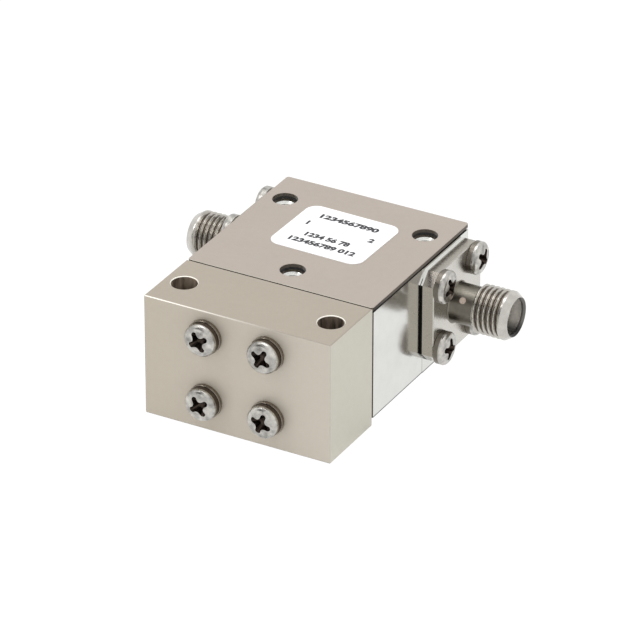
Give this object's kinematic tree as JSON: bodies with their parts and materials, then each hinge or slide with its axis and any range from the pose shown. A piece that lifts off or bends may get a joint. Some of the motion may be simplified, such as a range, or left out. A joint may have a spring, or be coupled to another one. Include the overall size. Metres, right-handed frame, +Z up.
{
  "type": "rf isolator",
  "caption": "Coaxial ferrite isolator: a plated housing with threaded jacks on two sides, a screwed-on load block and a flat cover plate.",
  "frame": {"origin": "where the junction axis meets the underside, at the centre of the housing's footprint", "axes": "+Z up along the junction axis, +Y away from the load block, +X along port 2"},
  "size_m": [0.0458, 0.0379, 0.0166],
  "materials": {
    "bright_nickel": "bright nickel plate on steel, nearly a mirror",
    "satin_nickel": "satin warm-grey nickel plate",
    "black_film": "matt black bonding film",
    "white_label": "white satin label film",
    "jack_steel": "turned stainless steel, passivated",
    "screw_steel": "bright stainless steel",
    "bright_foil": "bright metal gasket",
    "white_insulator": "white fluoropolymer",
    "gold_contact": "gold plate on copper alloy",
    "captivation_epoxy": "pale epoxy",
    "ferrite": "dark grey ferrite",
    "ceramic_ring": "white ceramic",
    "magnet": "dark sintered magnet",
    "magnetic_steel": "plain soft steel and nickel iron",
    "silvered_brass": "silver plate on brass",
    "resistor_rod": "film resistor on a ceramic rod"
  },
  "bodies": {
    "root": {"base_plate": "satin_nickel", "base_screws": "screw_steel", "block_screws": "screw_steel", "block_washers": "screw_steel", "cavity_lid": "magnetic_steel", "centre_conductor": "silvered_brass", "compensation_shim": "magnetic_steel", "cover_film": "black_film", "cover_plate": "satin_nickel", "housing": "bright_nickel", "label": "white_label", "load_bead": "white_insulator", "load_block": "satin_nickel", "load_pin": "gold_contact", "load_resistor": "resistor_rod", "load_sleeve": "silvered_brass", "lower_dielectric_ring": "ceramic_ring", "lower_ferrite": "ferrite", "lower_ground_disc": "silvered_brass", "lower_magnet": "magnet", "lower_pole_piece": "magnetic_steel", "port_1_captivation": "captivation_epoxy", "port_1_contact": "gold_contact", "port_1_dielectric": "white_insulator", "port_1_gasket": "bright_foil", "port_1_screws": "screw_steel", "port_1_shell": "jack_steel", "port_2_captivation": "captivation_epoxy", "port_2_contact": "gold_contact", "port_2_dielectric": "white_insulator", "port_2_gasket": "bright_foil", "port_2_screws": "screw_steel", "port_2_shell": "jack_steel", "upper_dielectric_ring": "ceramic_ring", "upper_ferrite": "ferrite", "upper_ground_disc": "silvered_brass", "upper_magnet": "magnet", "upper_pole_piece": "magnetic_steel"}
  },
  "joints": []
}
